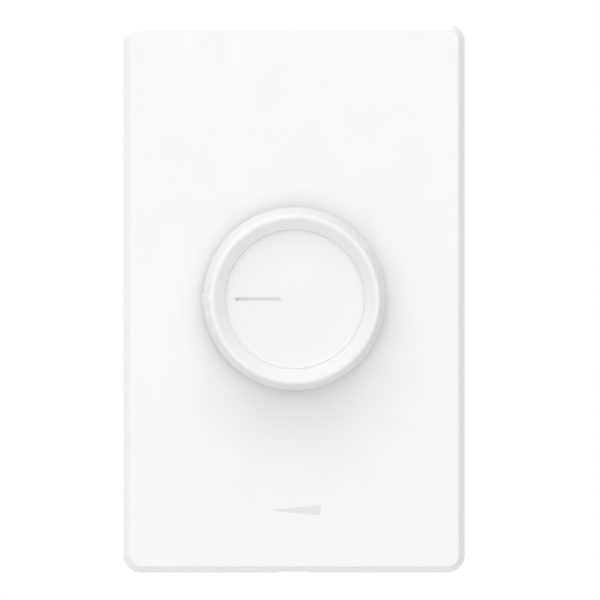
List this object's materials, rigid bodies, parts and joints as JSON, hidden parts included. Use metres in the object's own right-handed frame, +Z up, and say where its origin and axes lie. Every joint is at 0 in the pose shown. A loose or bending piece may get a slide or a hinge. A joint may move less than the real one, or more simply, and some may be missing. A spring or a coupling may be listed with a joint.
{
  "type": "rotary dimmer switch",
  "caption": "Single-gang wall dimmer: push on-off rotary knob with a recessed disc over a white screwless wallplate.",
  "frame": {"origin": "on the wall surface, on the knob's axis, midway between the two box screws", "axes": "+X right as seen from the room, +Y into the wall, +Z up"},
  "size_m": [0.0746, 0.054, 0.12],
  "materials": {
    "plate_plastic": "satin gloss white moulding",
    "knob_plastic": "fine satin white moulding",
    "cap_plastic": "fine satin white moulding",
    "adapter_plastic": "matte white moulding",
    "housing_plastic": "matte dark grey moulding",
    "yoke_metal": "stamped, fine rolled grain",
    "zinc_steel": "bright zinc plate",
    "green_steel": "green lacquer on steel",
    "spring_steel": "oiled spring steel",
    "contact_brass": "bright rolled brass",
    "fibre": "red-brown vulcanised fibre",
    "bushing_metal": "turned, nickel flash",
    "shaft_metal": "turned",
    "case_metal": "drawn and plated",
    "phenolic": "brown laminate",
    "rotor_plastic": "black moulding",
    "switch_plastic": "black moulding",
    "plunger_plastic": "natural nylon",
    "board": "tan laminate",
    "epoxy": "black epoxy",
    "pad": "grey thermal pad",
    "ferrite": "grey ferrite",
    "copper": "enamelled copper wire",
    "film_case": "yellow case",
    "timing_case": "red dipped case",
    "diode_glass": "small glass body",
    "resistor_body": "tan lacquer"
  },
  "bodies": {
    "root": {"wallplate": "plate_plastic", "plate_adapter": "adapter_plastic", "adapter_screws": "zinc_steel", "yoke": "yoke_metal", "ground_screw": "green_steel", "box_screws": "zinc_steel", "screw_retainers": "fibre", "control_bushing": "bushing_metal", "bushing_nut": "zinc_steel", "lock_washer": "zinc_steel", "pot_case": "case_metal", "resistance_track": "phenolic", "pot_terminals": "contact_brass", "switch_case": "switch_plastic", "switch_base": "switch_plastic", "plunger_spring": "spring_steel", "fixed_contacts": "contact_brass", "circuit_board": "board", "triac": "epoxy", "triac_insulator": "pad", "triac_rivet": "zinc_steel", "choke_core": "ferrite", "choke_winding": "copper", "film_capacitor": "film_case", "timing_capacitor": "timing_case", "diac": "diode_glass", "resistors": "resistor_body", "back_housing": "housing_plastic", "housing_screws": "zinc_steel", "terminal_plates": "contact_brass", "clamp_plates": "zinc_steel", "terminal_screws": "contact_brass"},
    "push_carriage": {"switch_plunger": "plunger_plastic", "moving_contact": "contact_brass"},
    "knob": {"knob_body": "knob_plastic", "knob_cap": "cap_plastic", "knob_clip": "spring_steel", "control_shaft": "shaft_metal", "retaining_ring": "spring_steel"},
    "rotor": {"pot_rotor": "rotor_plastic", "wiper_spring": "contact_brass"},
    "latch": {"latch_wire": "spring_steel"}
  },
  "joints": [
    {"name": "knob_push", "type": "slide", "parent": "root", "child": "push_carriage", "axis": [0, 1, 0], "range_m": [0, 0.0018], "stiffness_N_per_m": 600, "springref_m": -0.0045, "deforming": ["plunger_spring"]},
    {"name": "knob_turn", "type": "hinge", "parent": "push_carriage", "child": "knob", "pos_m": [0, 0, 0], "axis": [0, 1, 0], "range_deg": [-45, 225]},
    {"name": "rotor_turn", "type": "hinge", "parent": "root", "child": "rotor", "pos_m": [0, 0.0052, 0], "axis": [0, 1, 0], "range_deg": [-45, 225]},
    {"name": "latch_swing", "type": "hinge", "parent": "root", "child": "latch", "pos_m": [0, 0.0194, 0.0062], "axis": [0, 0, 1], "range_deg": [0, 18.5]}
  ],
  "couplings": [
    {"joint": "rotor_turn", "follows": "knob_turn", "ratio": 1},
    {"joint": "latch_swing", "follows": "knob_push", "rad_per_m": 174.53}
  ]
}
